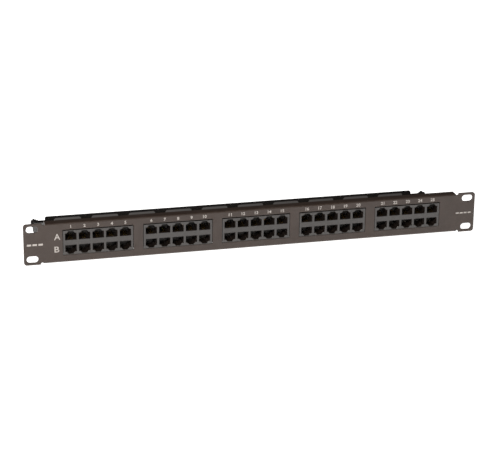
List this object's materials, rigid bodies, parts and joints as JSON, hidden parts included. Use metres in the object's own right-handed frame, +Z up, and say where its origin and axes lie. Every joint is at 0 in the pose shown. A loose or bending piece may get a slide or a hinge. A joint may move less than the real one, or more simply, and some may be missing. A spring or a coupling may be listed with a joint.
{
  "type": "patch panel",
  "caption": "Rack patch panel with gangs of modular jacks in framed windows, insulation-displacement strips behind, and a pivoting slotted cable bar on side arms.",
  "frame": {"origin": "centre of the four rack slots, on the rear face of the front panel", "axes": "+X along the panel to the right as seen from the front, +Y to the rear, out of the panel's rear face, +Z up"},
  "size_m": [0.4826, 0.102, 0.0436],
  "materials": {
    "panel_coat": "fine-textured satin powder coat",
    "bracket_coat": "fine-textured satin powder coat",
    "jack_plastic": "moulded, fine spark texture",
    "gold_plate": "gold plate over phosphor bronze",
    "board_laminate": "green solder mask on glass-epoxy",
    "strip_plastic": "moulded, ivory",
    "tin_plate": "tin plate",
    "zinc_plate": "bright zinc plate"
  },
  "bodies": {
    "chassis": {"arm_nuts": "zinc_plate", "arm_studs": "zinc_plate", "board_nuts": "zinc_plate", "board_spacers": "zinc_plate", "board_studs": "zinc_plate", "circuit_board_1": "board_laminate", "circuit_board_2": "board_laminate", "circuit_board_3": "board_laminate", "circuit_board_4": "board_laminate", "circuit_board_5": "board_laminate", "contact_tails_1": "gold_plate", "contact_tails_2": "gold_plate", "contact_tails_3": "gold_plate", "contact_tails_4": "gold_plate", "contact_tails_5": "gold_plate", "friction_washers": "bracket_coat", "front_panel": "panel_coat", "idc_forks_1": "tin_plate", "idc_forks_2": "tin_plate", "idc_forks_3": "tin_plate", "idc_forks_4": "tin_plate", "idc_forks_5": "tin_plate", "idc_strip_lower_1": "strip_plastic", "idc_strip_lower_2": "strip_plastic", "idc_strip_lower_3": "strip_plastic", "idc_strip_lower_4": "strip_plastic", "idc_strip_lower_5": "strip_plastic", "idc_strip_upper_1": "strip_plastic", "idc_strip_upper_2": "strip_plastic", "idc_strip_upper_3": "strip_plastic", "idc_strip_upper_4": "strip_plastic", "idc_strip_upper_5": "strip_plastic", "jack_block_1": "jack_plastic", "jack_block_2": "jack_plastic", "jack_block_3": "jack_plastic", "jack_block_4": "jack_plastic", "jack_block_5": "jack_plastic", "pivot_rivets": "bracket_coat", "side_arm_left": "bracket_coat", "side_arm_right": "bracket_coat"},
    "cable_bar": {"cable_bar": "bracket_coat"},
    "springs_a1": {"contact_springs_a1": "gold_plate"},
    "springs_a2": {"contact_springs_a2": "gold_plate"},
    "springs_a3": {"contact_springs_a3": "gold_plate"},
    "springs_a4": {"contact_springs_a4": "gold_plate"},
    "springs_a5": {"contact_springs_a5": "gold_plate"},
    "springs_b1": {"contact_springs_b1": "gold_plate"},
    "springs_b2": {"contact_springs_b2": "gold_plate"},
    "springs_b3": {"contact_springs_b3": "gold_plate"},
    "springs_b4": {"contact_springs_b4": "gold_plate"},
    "springs_b5": {"contact_springs_b5": "gold_plate"}
  },
  "joints": [
    {"name": "cable_bar_tilt", "type": "hinge", "parent": "chassis", "child": "cable_bar", "pos_m": [0, 0.0945, -0.0115], "axis": [-1, 0, 0], "range_deg": [0, 75]},
    {"name": "contact_flex_a1", "type": "hinge", "parent": "chassis", "child": "springs_a1", "pos_m": [-0.1654, 0.0019, 0.00202], "axis": [-1, 0, 0], "range_deg": [0, 12], "stiffness_Nm_per_rad": 0.3},
    {"name": "contact_flex_a2", "type": "hinge", "parent": "chassis", "child": "springs_a2", "pos_m": [-0.0827, 0.0019, 0.00202], "axis": [-1, 0, 0], "range_deg": [0, 12], "stiffness_Nm_per_rad": 0.3},
    {"name": "contact_flex_a3", "type": "hinge", "parent": "chassis", "child": "springs_a3", "pos_m": [0, 0.0019, 0.00202], "axis": [-1, 0, 0], "range_deg": [0, 12], "stiffness_Nm_per_rad": 0.3},
    {"name": "contact_flex_a4", "type": "hinge", "parent": "chassis", "child": "springs_a4", "pos_m": [0.0827, 0.0019, 0.00202], "axis": [-1, 0, 0], "range_deg": [0, 12], "stiffness_Nm_per_rad": 0.3},
    {"name": "contact_flex_a5", "type": "hinge", "parent": "chassis", "child": "springs_a5", "pos_m": [0.1654, 0.0019, 0.00202], "axis": [-1, 0, 0], "range_deg": [0, 12], "stiffness_Nm_per_rad": 0.3},
    {"name": "contact_flex_b1", "type": "hinge", "parent": "chassis", "child": "springs_b1", "pos_m": [-0.1654, 0.0019, -0.00288], "axis": [1, 0, 0], "range_deg": [0, 12], "stiffness_Nm_per_rad": 0.3},
    {"name": "contact_flex_b2", "type": "hinge", "parent": "chassis", "child": "springs_b2", "pos_m": [-0.0827, 0.0019, -0.00288], "axis": [1, 0, 0], "range_deg": [0, 12], "stiffness_Nm_per_rad": 0.3},
    {"name": "contact_flex_b3", "type": "hinge", "parent": "chassis", "child": "springs_b3", "pos_m": [0, 0.0019, -0.00288], "axis": [1, 0, 0], "range_deg": [0, 12], "stiffness_Nm_per_rad": 0.3},
    {"name": "contact_flex_b4", "type": "hinge", "parent": "chassis", "child": "springs_b4", "pos_m": [0.0827, 0.0019, -0.00288], "axis": [1, 0, 0], "range_deg": [0, 12], "stiffness_Nm_per_rad": 0.3},
    {"name": "contact_flex_b5", "type": "hinge", "parent": "chassis", "child": "springs_b5", "pos_m": [0.1654, 0.0019, -0.00288], "axis": [1, 0, 0], "range_deg": [0, 12], "stiffness_Nm_per_rad": 0.3}
  ]
}
